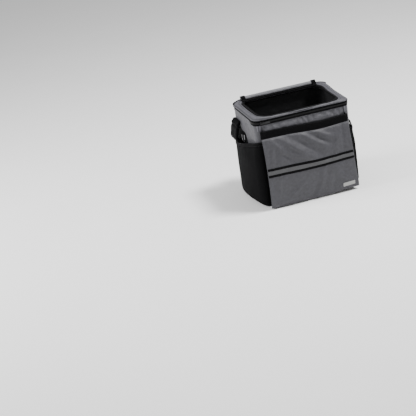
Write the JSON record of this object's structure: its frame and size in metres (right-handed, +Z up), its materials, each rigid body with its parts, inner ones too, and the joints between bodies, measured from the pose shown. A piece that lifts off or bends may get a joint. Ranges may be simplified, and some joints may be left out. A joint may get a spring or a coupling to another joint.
{
  "type": "dog bicycle basket",
  "caption": "Soft-sided pet carrier for a handlebar, with a zipped lid hinged at the back, a rolled window cover, a front pocket, mesh side pockets and carry loops.",
  "frame": {"origin": "centre of the basket's underside, where it stands on the floor", "axes": "+Z up, -Y towards the front pocket, +Y towards the handlebar, +X to the basket's right as seen from the front pocket"},
  "size_m": [0.4282, 0.3574, 0.3711],
  "materials": {
    "gray_cloth": "matte woven polyester",
    "black_cloth": "matte woven polyester",
    "lining_cloth": "thin coated nylon",
    "cushion_cloth": "soft pile",
    "roll_cloth": "satin polyester",
    "webbing": "woven polypropylene tape",
    "mesh": "ribbed elastic mesh",
    "foam": "closed-cell foam",
    "reflector": "retroreflective tape",
    "label": "smooth woven label, bare",
    "board": "polyethylene board",
    "zip_plastic": "nylon",
    "glide_plastic": "moulded acetal",
    "slider_metal": "black lacquer",
    "steel": "bright nickel plate"
  },
  "bodies": {
    "basket": {"bottom_panel": "black_cloth", "base_board": "board", "left_panel": "gray_cloth", "left_lining": "lining_cloth", "left_board": "board", "right_panel": "gray_cloth", "right_lining": "lining_cloth", "right_board": "board", "front_panel": "gray_cloth", "front_lining": "lining_cloth", "front_board": "board", "back_panel": "gray_cloth", "back_lining": "lining_cloth", "back_board": "board", "base_cushion": "cushion_cloth", "zip_tape_lower": "webbing", "zip_teeth_lower": "zip_plastic", "pocket_face": "gray_cloth", "stripe_upper": "webbing", "reflective_strip": "reflector", "stripe_lower": "webbing", "blank_label": "label", "pocket_webbing": "webbing", "pocket_gusset_left": "black_cloth", "pocket_gusset_right": "black_cloth", "pocket_gusset_bottom": "black_cloth", "left_mesh_pocket": "mesh", "right_mesh_pocket": "mesh", "left_pocket_hem": "webbing", "right_pocket_hem": "webbing", "left_ring_tab": "webbing", "right_ring_tab": "webbing", "left_loop_patch": "black_cloth", "right_loop_patch": "black_cloth", "left_carry_loop": "webbing", "right_carry_loop": "webbing", "bar_strap_left": "webbing", "bar_strap_right": "webbing", "bar_glide_left": "glide_plastic", "bar_glide_right": "glide_plastic", "tube_strap": "webbing", "tube_glide": "glide_plastic", "hinge_tape": "black_cloth"},
    "lid": {"lid_lining": "lining_cloth", "lid_foam": "foam", "lid_cover": "gray_cloth", "lid_piping": "black_cloth", "opening_binding": "black_cloth", "zip_tape_upper": "webbing", "zip_teeth_upper": "zip_plastic", "left_zip_flap": "gray_cloth", "right_zip_flap": "gray_cloth", "window_roll": "roll_cloth", "roll_tie_left": "webbing", "roll_tie_right": "webbing"},
    "slider": {"zip_slider": "slider_metal", "slider_bail": "slider_metal"},
    "pull": {"zip_pull": "slider_metal"},
    "ring_left": {"left_d_ring": "steel"},
    "ring_right": {"right_d_ring": "steel"}
  },
  "joints": [
    {"name": "lid_hinge", "type": "hinge", "parent": "basket", "child": "lid", "pos_m": [0, 0.138, 0.33415], "axis": [-1, 0, 0], "range_deg": [0, 140]},
    {"name": "slider_travel", "type": "slide", "parent": "basket", "child": "slider", "axis": [1, 0, 0], "range_m": [0, 0.311]},
    {"name": "pull_swing", "type": "hinge", "parent": "slider", "child": "pull", "pos_m": [-0.1565, -0.14176, 0.33], "axis": [0, 0, -1], "range_deg": [0, 170]},
    {"name": "ring_left_swing", "type": "hinge", "parent": "basket", "child": "ring_left", "pos_m": [-0.19049, 0.022, 0.25], "axis": [0, 1, 0], "range_deg": [0, 170]},
    {"name": "ring_right_swing", "type": "hinge", "parent": "basket", "child": "ring_right", "pos_m": [0.19049, 0.022, 0.25], "axis": [0, -1, 0], "range_deg": [0, 170]}
  ]
}
